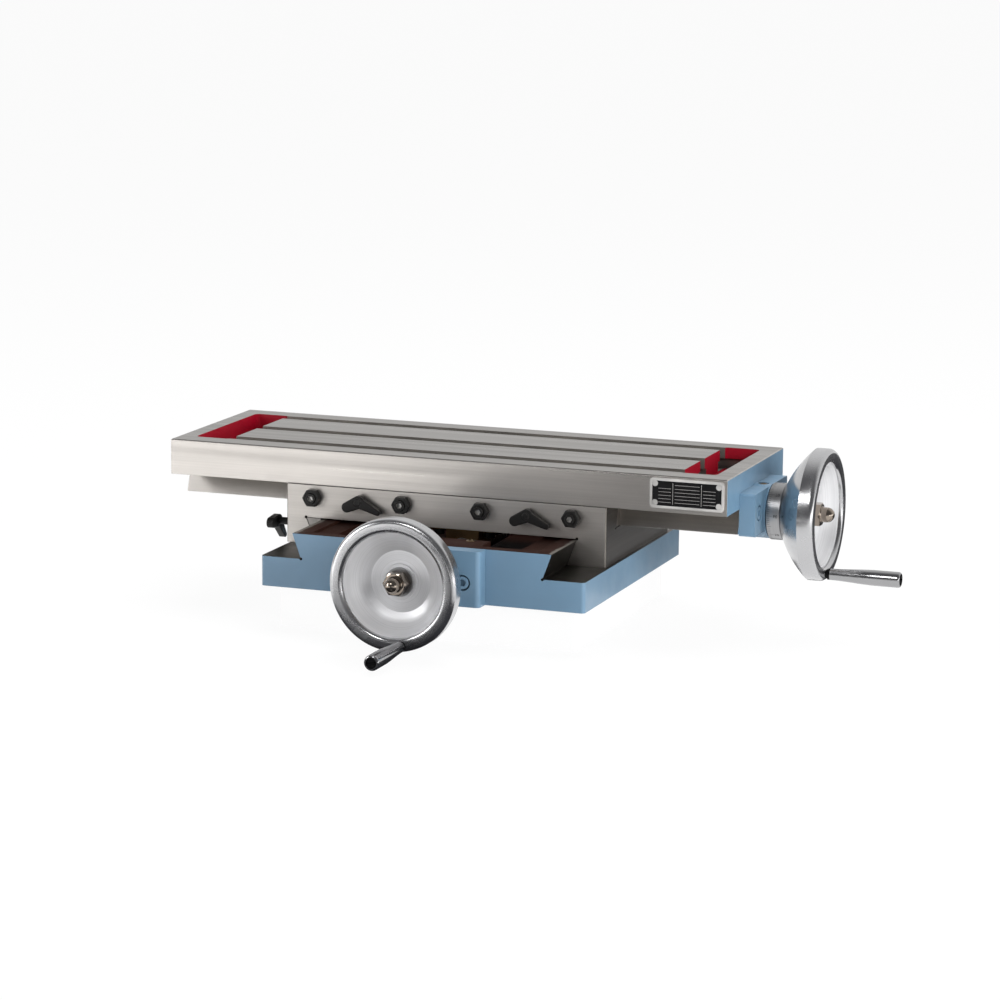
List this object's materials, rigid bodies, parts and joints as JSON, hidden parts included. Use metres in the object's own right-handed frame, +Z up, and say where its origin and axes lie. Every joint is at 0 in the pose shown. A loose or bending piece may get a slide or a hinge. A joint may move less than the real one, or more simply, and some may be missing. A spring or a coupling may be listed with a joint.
{
  "type": "cross slide table",
  "caption": "Cross slide milling table with T-slots, two dovetail slides, leadscrews with dials and chromed handwheels with revolving handles.",
  "frame": {"origin": "centre of the base's flat bottom face", "axes": "+X along the T-slotted table towards its handwheel, -Y towards the front handwheel, +Z up"},
  "size_m": [0.5892, 0.3632, 0.1463],
  "materials": {
    "painted_iron": "gloss",
    "ground_iron": "satin",
    "steel": "satin",
    "chrome": "polished",
    "black_steel": "satin",
    "bronze": "satin",
    "brass": "polished",
    "plate": "satin"
  },
  "bodies": {
    "base": {"base": "painted_iron", "cross_bracket": "painted_iron", "cross_bracket_screws": "black_steel", "cross_screw_bush": "bronze", "cross_thrust_washer": "steel", "cross_oiler_cup": "brass", "cross_oiler_ball": "steel"},
    "cross_screw": {"cross_screw": "steel", "cross_wheel_key": "steel", "cross_handwheel": "chrome", "cross_acorn_washer": "chrome", "cross_acorn_nut": "chrome", "cross_handle_spindle": "steel"},
    "cross_grip": {"cross_handle_grip": "chrome"},
    "cross_dial": {"cross_dial": "chrome"},
    "saddle": {"saddle": "ground_iron", "saddle_gib": "ground_iron", "saddle_gib_screws": "steel", "saddle_gib_nuts": "black_steel", "table_gib": "ground_iron", "table_gib_screws": "steel", "table_gib_nuts": "black_steel", "table_nut": "bronze", "table_nut_screws": "black_steel", "cross_nut": "bronze", "cross_nut_screws": "black_steel"},
    "table_lock_left": {"table_lock_lever_left": "black_steel", "table_lock_stud_left": "black_steel"},
    "table_lock_right": {"table_lock_lever_right": "black_steel", "table_lock_stud_right": "black_steel"},
    "saddle_lock_front": {"saddle_lock_lever_front": "black_steel", "saddle_lock_stud_front": "black_steel"},
    "saddle_lock_rear": {"saddle_lock_lever_rear": "black_steel", "saddle_lock_stud_rear": "black_steel"},
    "table": {"table": "ground_iron", "end_bracket": "painted_iron", "end_bracket_screws": "black_steel", "table_screw_bush": "bronze", "table_thrust_washer": "steel", "table_oiler_cup": "brass", "table_oiler_ball": "steel", "nameplate": "plate", "nameplate_pins": "steel"},
    "table_screw": {"table_screw": "steel", "table_wheel_key": "steel", "table_handwheel": "chrome", "table_acorn_washer": "chrome", "table_acorn_nut": "chrome", "table_handle_spindle": "steel"},
    "table_grip": {"table_handle_grip": "chrome"},
    "table_dial": {"table_dial": "chrome"}
  },
  "joints": [
    {"name": "cross_screw_turn", "type": "hinge", "parent": "base", "child": "cross_screw", "pos_m": [0, -0.122, 0.0225], "axis": [0, 1, 0], "range_deg": [-5400, 3600]},
    {"name": "saddle_slide", "type": "slide", "parent": "base", "child": "saddle", "axis": [0, 1, 0], "range_m": [-0.0601, 0.0401]},
    {"name": "cross_grip_turn", "type": "hinge", "parent": "cross_screw", "child": "cross_grip", "pos_m": [0.00738, -0.1826, -0.02412], "axis": [0, 1, 0], "continuous": true},
    {"name": "cross_dial_turn", "type": "hinge", "parent": "cross_screw", "child": "cross_dial", "pos_m": [0, -0.14245, 0.0225], "axis": [0, 1, 0], "continuous": true},
    {"name": "table_slide", "type": "slide", "parent": "saddle", "child": "table", "axis": [1, 0, 0], "range_m": [-0.0901, 0.1101]},
    {"name": "table_screw_turn", "type": "hinge", "parent": "table", "child": "table_screw", "pos_m": [0.2295, 0.0156, 0.064], "axis": [1, 0, 0], "range_deg": [-8100, 9900]},
    {"name": "table_grip_turn", "type": "hinge", "parent": "table_screw", "child": "table_grip", "pos_m": [0.2901, 0.0156, 0.0168], "axis": [1, 0, 0], "continuous": true},
    {"name": "table_dial_turn", "type": "hinge", "parent": "table_screw", "child": "table_dial", "pos_m": [0.24995, 0.0156, 0.064], "axis": [1, 0, 0], "continuous": true},
    {"name": "table_lock_left_turn", "type": "hinge", "parent": "saddle", "child": "table_lock_left", "pos_m": [-0.0735, -0.0689, 0.062], "axis": [0, -1, 0], "range_deg": [-35, 30]},
    {"name": "table_lock_right_turn", "type": "hinge", "parent": "saddle", "child": "table_lock_right", "pos_m": [0.0685, -0.0689, 0.062], "axis": [0, -1, 0], "range_deg": [-35, 30]},
    {"name": "saddle_lock_front_turn", "type": "hinge", "parent": "saddle", "child": "saddle_lock_front", "pos_m": [-0.1525, -0.0504, 0.038], "axis": [-1, 0, 0], "range_deg": [-60, 30]},
    {"name": "saddle_lock_rear_turn", "type": "hinge", "parent": "saddle", "child": "saddle_lock_rear", "pos_m": [-0.1525, 0.0816, 0.038], "axis": [-1, 0, 0], "range_deg": [-60, 30]}
  ],
  "couplings": [
    {"joint": "saddle_slide", "follows": "cross_screw_turn", "m_per_rad": 0.00063662},
    {"joint": "table_slide", "follows": "table_screw_turn", "m_per_rad": 0.00063662}
  ]
}
